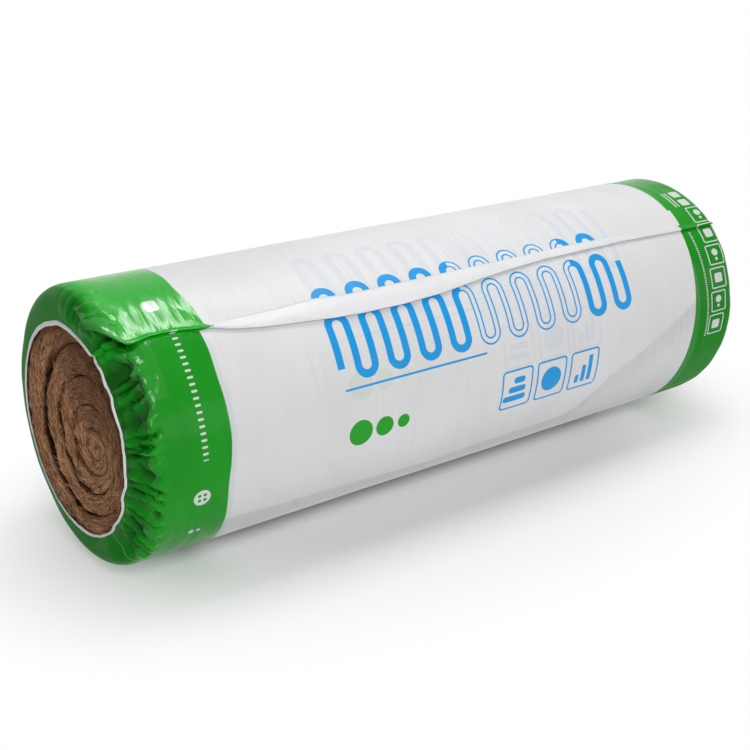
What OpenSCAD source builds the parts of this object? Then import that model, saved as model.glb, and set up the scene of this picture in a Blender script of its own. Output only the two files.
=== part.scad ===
// A lying roll of mineral wool mat in its printed film wrap.
// The mat is wound on itself with no core tube, and its turns show on both ends.
// The film is one sheet round the roll: it closes over both rims as a collar with
// a rolled hem, and its loose tail lies along the upper front of the roll.
// Units are millimetres. X runs along the roll, -Y is the front, and the roll lies on Z = 0.

/* [Wool roll] */
// Length of the roll, which is the width of the mat
mat_width = 1200; // [600:10:1500]
// Diameter of the roll of wool
wool_d = 418; // [340:2:600]
// Radius of the rounded rim at each end of the roll
rim_radius = 36; // [20:1:43]

/* [Turns on the ends] */
// Thickness of one turn of the wound mat
turn_thickness = 34; // [28:1:60]
// Radius of the rounded edge of each turn
turn_edge_radius = 9; // [4:0.5:12]
// Width of the slit between two turns
turn_slit_width = 2; // [1:0.5:4]
// Depth of the slit between two turns, from the end face
turn_slit_depth = 22; // [14:1:60]

/* [Film] */
// Thickness of the wound layers of film
film_wall = 0.8; // [0.4:0.1:2]
// Gap between the wool and the film
film_gap = 0.3; // [0.1:0.1:0.6]
// Width of the collar that the film makes over each end of the roll
collar_width = 54; // [47:1:120]
// Width of the rolled hem round the opening in each collar
hem_width = 9; // [4:1:16]
// Height of the rolled hem above the collar
hem_rise = 2; // [1:0.5:5]

/* [Film tail] */
// Height of the tail's straight edge round the roll, in degrees above the front
tail_angle = 54; // [20:1:80]
// Distance from the left end of the roll to the start of the loose stretch of the tail
tail_start = 140; // [70:5:250]
// Distance from the right end of the roll to the end of the loose stretch of the tail
tail_stop = 80; // [70:5:250]
// Width of the loose stretch at its widest
tail_width = 37; // [15:1:60]
// Height of the folded tail above the wrap
tail_rise = 2.4; // [1:0.2:6]

/* [Hidden] */
$fn = 96;

wool_colour = "#6b4d38";
film_colour = "#e9e9ec";

// The cuts run past the faces that they open by this much
overrun = 1;

wool_r = wool_d / 2;
half_mat = mat_width / 2;

film_rim = rim_radius + film_gap + film_wall;
film_r = wool_r + film_gap + film_wall;
half_film = half_mat + film_gap + film_wall;
opening_r = film_r - collar_width;

// The slit between two turns follows half circles about two centres, half a turn apart,
// and it stops before the rim.
half_turn_step = turn_thickness / 2;
spiral_offset = turn_thickness / 4;
mouth_half_width = turn_slit_width / 2 + turn_edge_radius;
flat_end_r = wool_r - rim_radius;
half_turns = floor((flat_end_r - spiral_offset - mouth_half_width) / half_turn_step);

// The rounded edge of a turn meets the end face at a slight angle.
edge_centre_share = 0.92;
edge_centre_depth = turn_edge_radius * edge_centre_share;

// The tail's lower edge is one arc through both ends of the loose stretch.
half_tail = (mat_width - tail_start - tail_stop) / 2;
tail_middle = (tail_start - tail_stop) / 2;
tail_bow_r = (half_tail * half_tail + tail_width * tail_width) / (2 * tail_width);
tail_span_angle = 2 * asin(tail_width / film_r);
tail_root_r = film_r - film_wall / 2;
tail_top_r = film_r + tail_rise;

// Half of the outline of a round bar with rounded rims, standing along Y, for turning.
module bar_outline(radius, half_length, rim) {
    translate([0, -half_length])
        square([radius - rim, 2 * half_length]);
    translate([0, rim - half_length])
        square([radius, 2 * (half_length - rim)]);
    for (end = [-1, 1])
        translate([radius - rim, end * (half_length - rim)])
            circle(rim);
}

// The slit between two turns, with the rounded edges of the turns at its mouth.
// The end face is at Y = 0 and the wool lies below it.
module slit_outline() {
    translate([-turn_slit_width / 2, -turn_slit_depth])
        square([turn_slit_width, turn_slit_depth + overrun]);
    difference() {
        translate([-mouth_half_width, -edge_centre_depth])
            square([2 * mouth_half_width, edge_centre_depth + overrun]);
        for (side = [-1, 1])
            translate([side * mouth_half_width, -edge_centre_depth])
                circle(turn_edge_radius);
    }
}

// The spiral between the turns, as half circles about two centres in turn.
module turn_spiral() {
    for (i = [0 : half_turns - 1]) {
        side = i % 2 == 0 ? -1 : 1;
        translate([side * spiral_offset, 0, 0])
            rotate([0, 0, 180 * i])
                rotate_extrude(angle = 180)
                    translate([(i + 1) * half_turn_step, 0])
                        slit_outline();
    }
}

// Lays a shape that was turned about Z on the floor, along X.
module lay_down() {
    translate([0, 0, film_r])
        rotate([0, 90, 0])
            children();
}

module wool_roll() {
    color(wool_colour)
        lay_down()
            difference() {
                rotate_extrude()
                    bar_outline(wool_r, half_mat, rim_radius);
                translate([0, 0, half_mat])
                    turn_spiral();
                mirror([0, 0, 1])
                    translate([0, 0, half_mat])
                        turn_spiral();
            }
}

// The film round the roll, closed over both rims as far as the openings.
module film_sleeve() {
    rotate_extrude()
        difference() {
            bar_outline(film_r, half_film, film_rim);
            bar_outline(film_r - film_wall, half_film - film_wall, film_rim - film_wall);
            translate([-overrun, -half_film - overrun])
                square([opening_r + overrun, 2 * (half_film + overrun)]);
        }
}

// The rolled hem round the opening at the upper end of the sleeve.
module film_hem() {
    rotate_extrude()
        translate([opening_r, half_film - film_wall])
            square([hem_width, film_wall + hem_rise]);
}

// The loose tail: a band on the sleeve with a straight edge and a bowed one.
module film_tail() {
    rotate([0, 0, 270 - tail_angle])
        intersection() {
            rotate_extrude(angle = tail_span_angle)
                translate([tail_root_r, tail_middle - half_tail - overrun])
                    square([tail_top_r - tail_root_r, 2 * (half_tail + overrun)]);
            translate([0, tail_width - tail_bow_r, tail_middle])
                rotate([0, 90, 0])
                    cylinder(r = tail_bow_r, h = tail_top_r + overrun);
        }
}

module film_wrap() {
    color(film_colour)
        lay_down() {
            film_sleeve();
            film_hem();
            mirror([0, 0, 1])
                film_hem();
            film_tail();
        }
}

wool_roll();
film_wrap();
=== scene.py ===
import random
from functools import reduce
from math import atan2, copysign, cos, degrees, exp, floor, hypot, pi, radians, sin, sqrt, tau

import bmesh
import bpy
from bpy.props import FloatProperty, FloatVectorProperty, IntProperty, PointerProperty
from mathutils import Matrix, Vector, geometry, noise
from mathutils.bvhtree import BVHTree


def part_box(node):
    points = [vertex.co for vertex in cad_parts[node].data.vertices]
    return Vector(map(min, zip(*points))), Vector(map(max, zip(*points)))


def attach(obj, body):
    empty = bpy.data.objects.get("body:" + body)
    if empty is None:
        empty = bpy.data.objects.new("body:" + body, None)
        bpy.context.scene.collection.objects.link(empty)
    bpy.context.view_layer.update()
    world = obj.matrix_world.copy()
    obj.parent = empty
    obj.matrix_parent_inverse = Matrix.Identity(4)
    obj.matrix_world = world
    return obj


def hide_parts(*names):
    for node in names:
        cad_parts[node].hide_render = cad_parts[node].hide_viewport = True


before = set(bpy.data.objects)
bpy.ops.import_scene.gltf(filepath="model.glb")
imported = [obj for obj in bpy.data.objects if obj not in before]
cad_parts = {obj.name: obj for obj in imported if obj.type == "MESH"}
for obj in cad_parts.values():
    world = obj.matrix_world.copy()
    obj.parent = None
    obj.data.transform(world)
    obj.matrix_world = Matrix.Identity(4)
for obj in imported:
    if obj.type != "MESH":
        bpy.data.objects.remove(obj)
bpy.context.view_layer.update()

bl_info = {
    "name": "Insulation roll",
    "version": (1, 0, 0),
    "blender": (4, 5, 0),
    "location": "3D View > Sidebar > Roll",
    "description": "Dresses a lying roll of mineral wool mat in its printed film wrap",
    "category": "Object",
}

FILM_LOW, FILM_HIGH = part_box("film_wrap")
ROLL_RADIUS = (FILM_HIGH[2] - FILM_LOW[2]) / 2
AXIS_HEIGHT = FILM_LOW[2] + ROLL_RADIUS
HALF_LENGTH = (FILM_HIGH[0] - FILM_LOW[0]) / 2


def property_kind(kind, **settings):
    """Makes a function that gives properties of one kind their name, description and default."""
    return lambda name, description, default: kind(
        name=name, description=description, default=default, **settings)


length_value = property_kind(FloatProperty, unit="LENGTH", precision=4)
angle_value = property_kind(FloatProperty, subtype="ANGLE")
power_value = property_kind(FloatProperty, unit="POWER")
lens_value = property_kind(FloatProperty, unit="CAMERA")
share_value = property_kind(FloatProperty, subtype="FACTOR")
face_value = property_kind(IntProperty, min=60)
count_value = property_kind(IntProperty, min=0)
place_value = property_kind(FloatVectorProperty, size=3, subtype="TRANSLATION")
colour_value = property_kind(FloatVectorProperty, size=3, subtype="COLOR", min=0, max=1)


class FilmSizes(bpy.types.PropertyGroup):
    """Sizes of the film wrap"""

    rim: length_value("Rim", "Radius of the film over the left rim, at the top and the back", 0.0371)
    front_rim: length_value("Front rim", "Radius of the film over the left rim, at the front", 0.010)
    press: length_value("Press", "How far the left end is pressed in at the front", 0.0400)
    lead: length_value("Lead", "Length of the side that the pressed rim takes up", 0.014)
    right_rim: length_value("Right rim", "Radius of the film over the right rim", 0.017)
    collar: length_value("Collar", "Width of the collar over each end", 0.054)
    hem: length_value("Hem", "Width of the turned hem of the collar", 0.0052)
    hem_rise: length_value("Hem rise", "Height of the hem above the collar", 0.002)
    wall: length_value("Wall", "Thickness of the wound film", 0.001)
    left_band: length_value("Left band", "Place of the left green band's inner edge", -0.448)
    right_band: length_value("Right band", "Place of the right green band's inner edge", 0.506)
    crumple: length_value("Crumple", "Depth of the folds in the left collar", 0.0170)
    front_sink: length_value("Front sink", "How far the left collar sinks in at the front", 0.010)
    tail_angle: angle_value("Tail angle", "Height of the tail's hidden edge above the front", radians(50.5))
    around: face_value("Around", "Faces round the film", 384)


class WoolSizes(bpy.types.PropertyGroup):
    """Sizes of the wound mat"""

    turn: length_value("Turn", "Thickness of one turn of the mat", 0.034)
    heart_shift: place_value(
        "Heart shift", "How far the innermost turn lies off the axis", (0.0, -0.070, -0.009))
    per_turn: face_value("Per turn", "Faces along one turn of the mat", 240)
    fibres: count_value("Fibres", "Loose fibres on each end", 4400)
    fibre_length: length_value("Fibre length", "Length of a loose fibre", 0.034)
    fibre_width: length_value("Fibre width", "Thickness of a loose fibre", 0.0008)


class RollColours(bpy.types.PropertyGroup):
    """Colours of the film, its print and the wool"""

    film_white: colour_value("Film white", "Bare film", (0.80, 0.80, 0.81))
    band_green: colour_value("Band green", "Print of the end bands", (0.006, 0.35, 0.010))
    print_blue: colour_value("Print blue", "Print of the middle", (0.004, 0.33, 0.78))
    wool_dark: colour_value("Wool dark", "Wool between the fibres", (0.13, 0.058, 0.026))
    wool_mid: colour_value("Wool mid", "Wool", (0.74, 0.385, 0.200))
    wool_light: colour_value("Wool light", "Lit fibres", (0.90, 0.58, 0.34))


class StageSizes(bpy.types.PropertyGroup):
    """Camera, floor and lights"""

    camera_at: place_value("Camera", "Place of the camera", (-1.1220, -1.5065, 0.9200))
    camera_target: place_value("Target", "Point that the camera looks at", (-0.0599, 0.0, 0.1709))
    lens: lens_value("Lens", "Focal length on a 36 mm sensor", 56.2)
    overhead: power_value("Overhead", "Power of the overhead light", 20)
    front: power_value("Front", "Power of the front light", 31)
    side: power_value("Side", "Power of the light at the left end", 1.5)
    fill: power_value("Fill", "Power of the wide fill light", 16)
    sky: share_value("Sky", "Strength of the room's even light", 0.13)


# Shapes shared by the pieces

def roll_point(x, radius, angle):
    """A point on the roll, with the angle counted from the front, upwards."""
    return Vector((x, -radius * cos(angle), AXIS_HEIGHT + radius * sin(angle)))


def smooth(low, high, value):
    """0 below low, 1 above high and an even change between them."""
    share = min(max((value - low) / (high - low), 0.0), 1.0)
    return share * share * (3 - 2 * share)


def straight(points, place):
    """The value at a place along (place, value) points, straight between them."""
    for (low, first), (high, second) in zip(points, points[1:]):
        if place <= high:
            return first + (second - first) * max(place - low, 0.0) / (high - low)
    return points[-1][1]


def at_front(low, high, angle):
    """1 at the front between two angles in degrees, 0 elsewhere."""
    ease = 10
    at = degrees(angle)
    return smooth(low - ease, low + ease, at) * (1 - smooth(high - ease, high + ease, at))


def swell(angle, middle, width):
    """1 at an angle in degrees, less to both sides of it."""
    return exp(-((degrees(angle) - middle) / width) ** 2)


def rough(x, y, z):
    """Smooth noise at a place, from -1 to 1."""
    return noise.noise(Vector((x, y, z)))


def rough_round(angle, often, place):
    """Smooth noise that closes round the roll."""
    return rough(cos(angle) * often, sin(angle) * often, place)


# How far the hems stand in from the ends of the roll
RIGHT_TILT, RIGHT_DENT = 0.0035, 0.0045
RIGHT_DENT_ANGLE, RIGHT_DENT_WIDTH = 55, 30
LEFT_TILT, LEFT_TOP_TILT = 0.0076, 0.004


def end_tilt(film, side, angle):
    """How far the hem stands in from the end of the roll, along X, at an angle."""
    if side > 0:
        return RIGHT_TILT + RIGHT_DENT * swell(angle, RIGHT_DENT_ANGLE, RIGHT_DENT_WIDTH)
    return LEFT_TILT + film.front_sink * cos(angle) + LEFT_TOP_TILT * sin(angle)


MERGE = 1e-6


def sheet_grid(columns, rows, place, flat_place, paint=None, fold=None):
    """A grid whose corners (column, row) go to place(), with flat_place() as their spot on the flat sheet.

    paint() gives the material of the face that starts at a corner, and fold() the height of the folds there.
    """
    bm = bmesh.new()
    bmesh.ops.create_grid(bm, x_segments=columns, y_segments=rows, size=0.5)
    flat = bm.loops.layers.uv.new("sheet")
    height = bm.verts.layers.float.new("fold") if fold else None
    bm.verts.index_update()
    spots = [(round((v.co.x + 0.5) * columns), round((v.co.y + 0.5) * rows)) for v in bm.verts]
    for face in bm.faces:
        corners = [spots[loop.vert.index] for loop in face.loops]
        for loop, corner in zip(face.loops, corners):
            loop[flat].uv = flat_place(*corner)
        if paint:
            face.material_index = paint(min(c for c, _ in corners), min(r for _, r in corners))
    for vert in bm.verts:
        vert.co = place(*spots[vert.index])
        if fold:
            vert[height] = fold(*spots[vert.index])
    bmesh.ops.remove_doubles(bm, verts=bm.verts, dist=MERGE)
    return bm


def add_piece(name, mesh):
    """Makes a mesh a named object that rides on the roll."""
    piece = bpy.data.objects.new(name, mesh)
    bpy.context.scene.collection.objects.link(piece)
    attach(piece, "root")
    return piece


def finish_piece(bm, name, materials, crease=0.0):
    """Makes a bmesh a named object with materials."""
    bmesh.ops.recalc_face_normals(bm, faces=bm.faces)
    for face in bm.faces:
        face.smooth = True
    mesh = bpy.data.meshes.new(name)
    bm.to_mesh(mesh)
    bm.free()
    if crease:
        mesh.set_sharp_from_angle(angle=crease)
    for material in materials:
        mesh.materials.append(material)
    return add_piece(name, mesh)


# Film

def rim_start(film):
    """Place along X, from the middle, from which the film may bend over the rim."""
    return HALF_LENGTH - film.hem_rise - film.rim - film.lead


def bend_length(film):
    """Length of the film from the start of the rim to the edge of the opening."""
    return film.lead + film.rim * pi / 2 + film.collar - film.rim


def hem_run(film):
    """Place of the hem's outer edge along the flat sheet, from the middle."""
    return rim_start(film) + bend_length(film) - film.hem


def collar_depth(film, run):
    """0 where the film may bend over the rim, 1 at the edge of the opening."""
    return (abs(run) - rim_start(film)) / bend_length(film)


# The film's right end leans over this length, and the rim at the left front wanders within this one
LEAN_LENGTH = 0.08
RIM_EASE = 0.03
RIM_WANDER = 0.007
PRESSED_ANGLES = (-50, 60)

# Depths of the left collar between which it tilts
TILT_DEPTHS = (0.24, 0.88)


def ring_at(film, run, angle, pressed=1.0):
    """Place along X, radius and outward direction (along X, along the radius) of the smooth film.

    The rim is tight on the right, round on the left and pressed in behind a tight rim at the left front.
    """
    past = abs(run) - rim_start(film)
    side = 1 if run > 0 else -1
    tilt = end_tilt(film, side, angle)
    lean = tilt * smooth(film.right_band, film.right_band + LEAN_LENGTH, run)
    if past <= -RIM_EASE:
        return run + lean, ROLL_RADIUS, (0.0, 1.0)
    front = at_front(*PRESSED_ANGLES, angle) * pressed if side < 0 else 0.0
    if front > 0:
        past += RIM_WANDER * front * rough(angle * 5.0, 3.0, 1.0) * smooth(-RIM_EASE, RIM_EASE / 6, past)
    if past <= 0:
        return side * (rim_start(film) + past) + lean, ROLL_RADIUS, (0.0, 1.0)
    rim = film.right_rim if side > 0 else film.rim + (film.front_rim - film.rim) * front
    level = film.lead + film.rim - rim - film.press * front
    bend = rim * pi / 2
    way = past * (level + bend + film.collar - rim) / bend_length(film)
    turn = min(max(way - level, 0.0) / rim, pi / 2)
    flat = max(way - level - bend, 0.0)
    along, across = sin(turn), cos(turn)
    x = rim_start(film) + min(way, level) + rim * along
    shift = lean
    if side < 0:
        shift = (1 - front) * tilt * smooth(*TILT_DEPTHS, past / bend_length(film))
        shift += front * (tilt - film.press) * flat / (film.collar - rim)
    return side * x + shift, ROLL_RADIUS - rim + rim * across - flat, (side * along, across)


# Two crushed sheets: the seed of their random points, and the points' pitch round the roll and along it
LARGE_FOLDS = (3, 0.030, 0.032)
SMALL_FOLDS = (5, 0.011, 0.013)
FIELD_AROUND, FIELD_RUN = 0.80, 0.20
FIELD_FIRST = (-0.40, -0.70)
FIELD_SCATTER = 0.42
FIELD_SWAPPED = 0.22
FIELD_LEAST_HEIGHT = 0.3
FOLD_FIELDS = {}

# Radius at which the folds are laid out, and the pitch of the pleats there
FOLD_REACH = 0.19
PLEAT_PITCH, PLEAT_WANDER, PLEAT_SLANT = 0.021, 0.7, 0.8

# Where the collar is crushed, where less so, where its folds are largest, and the share of each kind of fold
CRUSHED_ANGLES, CALM_ANGLES, HIGH_ANGLES = (-46, 86), (52, 70), (18, 40)
LARGE_SHARE, LARGE_HIGH_SHARE, PLEAT_SHARE, SMALL_SHARE, HIGH_RISE = 0.32, 0.34, 0.33, 0.20, 0.06
FOLD_SINK, FOLD_SINK_DEPTHS = 0.012, (0.16, 0.34)
LEFT_UNEVEN, RIGHT_UNEVEN = 0.0006, 0.0009


def fold_field(seed, around_step, run_step):
    """A crushed sheet over the flat left collar: scattered points of random height, joined by triangles."""
    if seed in FOLD_FIELDS:
        return FOLD_FIELDS[seed]
    draw = random.Random(seed)
    flat, heights = [], []
    for number in range(int(FIELD_AROUND / around_step)):
        for row in range(int(FIELD_RUN / run_step)):
            aside = number + draw.uniform(-FIELD_SCATTER, FIELD_SCATTER)
            along = row + 0.5 * (number % 2) + draw.uniform(-FIELD_SCATTER, FIELD_SCATTER)
            flat.append(Vector((FIELD_FIRST[0] + aside * around_step, FIELD_FIRST[1] + along * run_step)))
            sign = 1 if (number + row * (row % 3 > 0)) % 2 else -1
            sign = -sign if draw.random() < FIELD_SWAPPED else sign
            heights.append(sign * draw.uniform(FIELD_LEAST_HEIGHT, 1.0))
    spots, _, faces, sources, _, _ = geometry.delaunay_2d_cdt(flat, [], [], 0, MERGE)
    points = [Vector((*spot, heights[source[0]])) for spot, source in zip(spots, sources)]
    FOLD_FIELDS[seed] = BVHTree.FromPolygons(points, faces)
    return FOLD_FIELDS[seed]


def folds_at(field, run, angle):
    """Height of a crushed sheet at a place, from -1 to 1, with sharp straight folds."""
    hit = fold_field(*field).ray_cast(Vector((angle * FOLD_REACH, run, 2.0)), Vector((0, 0, -1)))[0]
    return hit.z if hit else 0.0


def crushed(film, run, angle):
    """Height of the folds in a collar, at a place of the sheet."""
    if run > 0:
        return RIGHT_UNEVEN * rough_round(angle, 7, run * 20)
    at = degrees(angle)
    front = at_front(*CRUSHED_ANGLES, angle) * (1 - 0.5 * smooth(*CALM_ANGLES, at))
    if front <= 0:
        return LEFT_UNEVEN * rough_round(angle, 5, run * 20)
    high = smooth(*HIGH_ANGLES, at)
    depth = collar_depth(film, run)
    way = angle * FOLD_REACH / PLEAT_PITCH + PLEAT_WANDER * rough(angle * 5.0, depth * 1.2, 9.0)
    way += PLEAT_SLANT * sin(angle * 4.0) * depth
    pleat = 1 - 4 * abs(way - floor(way) - 0.5)
    strong = 0.75 + 0.7 * rough(floor(way) * 0.73, 2.0, 5.0)
    large, small = folds_at(LARGE_FOLDS, run, angle), folds_at(SMALL_FOLDS, run, angle)
    folds = (LARGE_SHARE + LARGE_HIGH_SHARE * high) * large + PLEAT_SHARE * pleat * strong
    folds += SMALL_SHARE * small + HIGH_RISE * high
    deepest = 0.7 * film.front_rim + FOLD_SINK * smooth(*FOLD_SINK_DEPTHS, depth)
    return max(film.crumple * folds * front, -deepest)


def gathered(depth):
    """Share of the folds at a depth of the collar: none before the rim."""
    return smooth(-0.10, 0.14, depth)


# Waves of the film: how often they come along the roll and round it, and their height
FILM_WAVES = ((24, 2.2, 0.0004), (5, 2.5, 0.0011))
BAND_WAVE = (85, 2.4, 0.0006)
BAND_WAVE_ANGLES = (-75, 76)

# Share of the folds that is left at the hem, and of the folds that stand out at the rim
HEM_FOLDS, HEM_DEPTHS = 0.05, (0.72, 0.90)
RIM_FOLDS, RIM_DEPTHS = 0.4, (0.04, 0.26)

# Crinkles beside the left rim, below the tail
CRINKLE = 0.0028
CRINKLE_ANGLES = (32, 48)
CRINKLE_RUN = (-0.545, -0.515)

# The edge of the opening: its waves round the roll, and a notch in the left one
EDGE_WAVES = ((3, 0.0020), (11, 0.0009))
EDGE_DEPTHS = (0.62, 0.9)
NOTCH, NOTCH_ANGLE, NOTCH_WIDTH = 0.008, 58, 1.7


def film_wave(run, angle, often, often_round, height):
    return height * rough(run * often, cos(angle) * often_round, sin(angle) * often_round)


def film_point(film, run, angle, lift=0.0, pressed=1.0):
    """A point of the film, some way above its surface."""
    x, radius, normal = ring_at(film, run, angle, pressed)
    depth = collar_depth(film, run)
    side = 1 if run > 0 else -1
    off = sum(film_wave(run, angle, *wave) for wave in FILM_WAVES)
    near_band = 1 - smooth(film.left_band - 0.02, film.left_band + 0.03, run)
    near_band *= at_front(*BAND_WAVE_ANGLES, angle)
    if near_band > 0:
        off += near_band * film_wave(run, angle, *BAND_WAVE)
    crinkled = at_front(*CRINKLE_ANGLES, angle) * (1 - smooth(*CRINKLE_RUN, run)) * pressed
    if crinkled > 0:
        off += CRINKLE * crinkled * (1 - smooth(-0.05, 0.15, depth)) * folds_at(SMALL_FOLDS, run, angle)
    inward = 0.0
    if depth > -0.5:
        kept = 1 - (1 - HEM_FOLDS) * smooth(*HEM_DEPTHS, depth)
        fold = crushed(film, run, angle) * gathered(depth) * kept * pressed
        off += fold * (RIM_FOLDS + (1 - RIM_FOLDS) * smooth(*RIM_DEPTHS, depth)) if fold > 0 else fold
        inward = sum(height * rough_round(angle, often, side) for often, height in EDGE_WAVES)
        if side < 0:
            inward -= NOTCH * swell(angle, NOTCH_ANGLE, NOTCH_WIDTH)
        inward *= smooth(*EDGE_DEPTHS, depth)
    off += lift
    point = roll_point(x + normal[0] * off, radius + normal[1] * off - inward, angle)
    point.z = max(point.z, FILM_LOW[2])
    return point


def hem_share(run, angle):
    """Width of the hem at an angle, as a share of its mean: wide at the top left, narrow at the back."""
    if run > 0:
        return 1.0
    at = degrees(angle)
    share = 0.85 + 0.55 * smooth(62, 88, at) - 0.80 * smooth(122, 165, at)
    share += 0.40 * (smooth(225, 262, at) + 1 - smooth(-88, -72, at))
    return share + 0.22 * rough_round(angle, 9, 3.0)


# Shares of the film's faces up to some angles, which lie closer together at the front
ROW_ANGLES = ((0.0, -90.0), (0.05, -66.0), (0.65, 86.0), (1.0, 270.0))

# Rings round each hem, and how many rings outside share one inside
HEM_ROWS = 7
INSIDE_STEP = 3
COLLAR_WALL = 0.003


def film_columns(film):
    """(run, lift, inside) of each ring of the film, out along the outside and back along the inside."""
    start, edge, band = rim_start(film), hem_run(film), film.left_band + 0.01
    stretches = ((-edge, -start, 36), (-start, band, 34), (band, film.right_band, 66),
                 (film.right_band, start, 8), (start, edge, 20))
    outside = [(first + (last - first) * number / count, 0.0, False)
               for first, last, count in stretches for number in range(count)]
    hem = []
    for number in range(HEM_ROWS + 1):
        turn = pi * number / HEM_ROWS
        hem.append((edge + film.hem * (1 - cos(turn)) / 2, film.hem_rise * sin(turn), False))
    columns = [(-run, lift, inside) for run, lift, inside in hem[::-1]] + outside[1:] + hem
    for run, _, _ in columns[-HEM_ROWS - 1::-INSIDE_STEP]:
        if abs(run) <= edge:
            wall = film.wall + COLLAR_WALL * smooth(-0.2, 0.1, collar_depth(film, run))
            columns.append((run, -wall, True))
    return columns


# Names of the printed film's materials, which are alike but for their shine: a region has one value all over
FILM_SHINES = (("printed_film", 0.30), ("bright_band", 0.32), ("plain_band", 0.17), ("dull_band", 0.10))
MIDDLE, BRIGHT, PLAIN, DULL, BARE, HEM = range(6)
LEFT_COLLAR = -0.579
BRIGHT_TOP, BRIGHT_LOW, BRIGHT_RUN = 130, 28, -0.525


def shine_at(film, run, angle):
    """Number of the printed film's material at a place of the sheet."""
    if run > film.right_band or run < LEFT_COLLAR:
        return DULL
    if run > film.left_band:
        return MIDDLE
    over_tail = film.tail_angle < angle and degrees(angle) < BRIGHT_TOP
    return BRIGHT if over_tail or BRIGHT_LOW < degrees(angle) and run < BRIGHT_RUN else PLAIN


class ROLL_OT_film_wrap(bpy.types.Operator):
    """Makes the printed film round the roll, with its collars and hems"""

    bl_idname = "roll.film_wrap"
    bl_label = "Film wrap"

    def execute(self, context):
        film, colours = context.scene.film_sizes, context.scene.roll_colours
        columns, edge = film_columns(film), hem_run(film)
        angles = [radians(straight(ROW_ANGLES, row / film.around)) for row in range(film.around + 1)]

        def column_at(number):
            return columns[number % len(columns)]

        def place(column, row):
            run, lift, _ = column_at(column)
            angle = angles[row % film.around]
            past = abs(run) - edge
            if past > 0:
                run = copysign(edge + past * hem_share(run, angle), run)
            return film_point(film, run, angle, lift)

        def flat_place(column, row):
            return column_at(column)[0], angles[row] * ROLL_RADIUS

        def paint(column, row):
            (first, _, inside), (second, _, inside_next) = column_at(column), column_at(column + 1)
            if inside or inside_next:
                return BARE
            if min(abs(first), abs(second)) > edge - 0.0001:
                return HEM
            return shine_at(film, first, angles[row])

        def fold(column, row):
            run = column_at(column)[0]
            depth = collar_depth(film, run)
            if run > 0 or depth < -0.2:
                return 0.0
            return crushed(film, run, angles[row % film.around]) * gathered(depth) / film.crumple

        bm = sheet_grid(len(columns), film.around, place, flat_place, paint, fold)
        # The hem is a copy of the bare film lightened further: painted light on its rounded bead.
        materials = printed_films(colours, film) + [bare_film(colours), bare_film(colours, "hem_film", 1.19)]
        piece = finish_piece(bm, "film_wrap_sheet", materials, crease=radians(20))
        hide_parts("film_wrap")
        width = 2 * (hem_run(film) + film.hem)
        return {"FINISHED"}


# Tail of the film: its edges in degrees and its lift, at places along the roll

TAIL_LOWER = (
    (-0.598, 64.0), (-0.592, 61.5), (-0.583, 58.5), (-0.574, 54.9), (-0.564, 51.4), (-0.558, 50.2),
    (-0.550, 50.0), (-0.540, 50.8), (-0.520, 51.9), (-0.484, 51.9), (-0.434, 50.4), (-0.402, 47.8),
    (-0.357, 45.7), (-0.294, 44.1), (-0.244, 42.9), (-0.193, 42.2), (-0.119, 42.1), (-0.040, 43.0),
    (0.024, 44.9), (0.090, 46.5), (0.181, 48.0), (0.369, 48.3), (0.547, 47.0), (0.590, 47.1))
TAIL_UPPER = (
    (-0.598, 64.5), (-0.550, 52.2), (-0.440, 51.0), (-0.415, 52.4), (-0.320, 52.6), (-0.260, 53.3),
    (-0.200, 52.0), (0.100, 52.2), (0.240, 52.6), (0.330, 52.2), (0.450, 50.4), (0.520, 49.0), (0.590, 48.8))
TAIL_LIFT = (
    (-0.598, 0.0110), (-0.590, 0.0100), (-0.570, 0.0070), (-0.540, 0.0040), (-0.450, 0.0024),
    (-0.420, 0.0018), (-0.200, 0.0022), (0.100, 0.0022), (0.300, 0.0016), (0.500, 0.0014), (0.590, 0.0022))
TAIL_FIRST, TAIL_LAST = -0.597, 0.588
TAIL_COLUMNS = 300
TAIL_UNDER, TAIL_FOLD, TAIL_OVER = 10, 5, 8
TAIL_FOLD_RADIUS = 0.0011
TAIL_WALL = 0.0003
TAIL_BARE = (-0.430, 0.40)
TAIL_SLIP = 0.014
TAIL_LEAST_BACK = 0.0015
TAIL_ROOT, TAIL_BAND_ROOT, TAIL_BAND = 3.0, 13.0, (-0.47, -0.42)
TAIL_UNDER_LIFT, TAIL_ROOT_SINK, TAIL_OVER_LIFT = 0.0004, 0.0010, 0.0016


def tail_section(run, row):
    """Angle and height over the film of a row of the tail, from its root down to the fold and back up."""
    low, high = (radians(straight(edge, run)) for edge in (TAIL_LOWER, TAIL_UPPER))
    in_band = 1 - smooth(*TAIL_BAND, run)
    root = max(high, low) + radians(TAIL_ROOT + TAIL_BAND_ROOT * in_band)
    lift = straight(TAIL_LIFT, run)
    edge = low + TAIL_FOLD_RADIUS / ROLL_RADIUS
    if row <= TAIL_UNDER:
        share = row / TAIL_UNDER
        rise = TAIL_UNDER_LIFT - TAIL_ROOT_SINK * (1 - share) ** 2 + lift * smooth(0.2, 1.0, share)
        return root + (edge - root) * share, rise
    if row <= TAIL_UNDER + TAIL_FOLD:
        turn = pi * (row - TAIL_UNDER) / TAIL_FOLD
        return edge - sin(turn) * TAIL_FOLD_RADIUS / ROLL_RADIUS, lift + TAIL_FOLD_RADIUS * (1 - cos(turn))
    share = (row - TAIL_UNDER - TAIL_FOLD) / TAIL_OVER
    back = max(high - edge, TAIL_LEAST_BACK / ROLL_RADIUS)
    top = lift + 2 * TAIL_FOLD_RADIUS
    return edge + back * share, top + (TAIL_OVER_LIFT - top) * smooth(0.25, 1.0, share)


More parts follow.
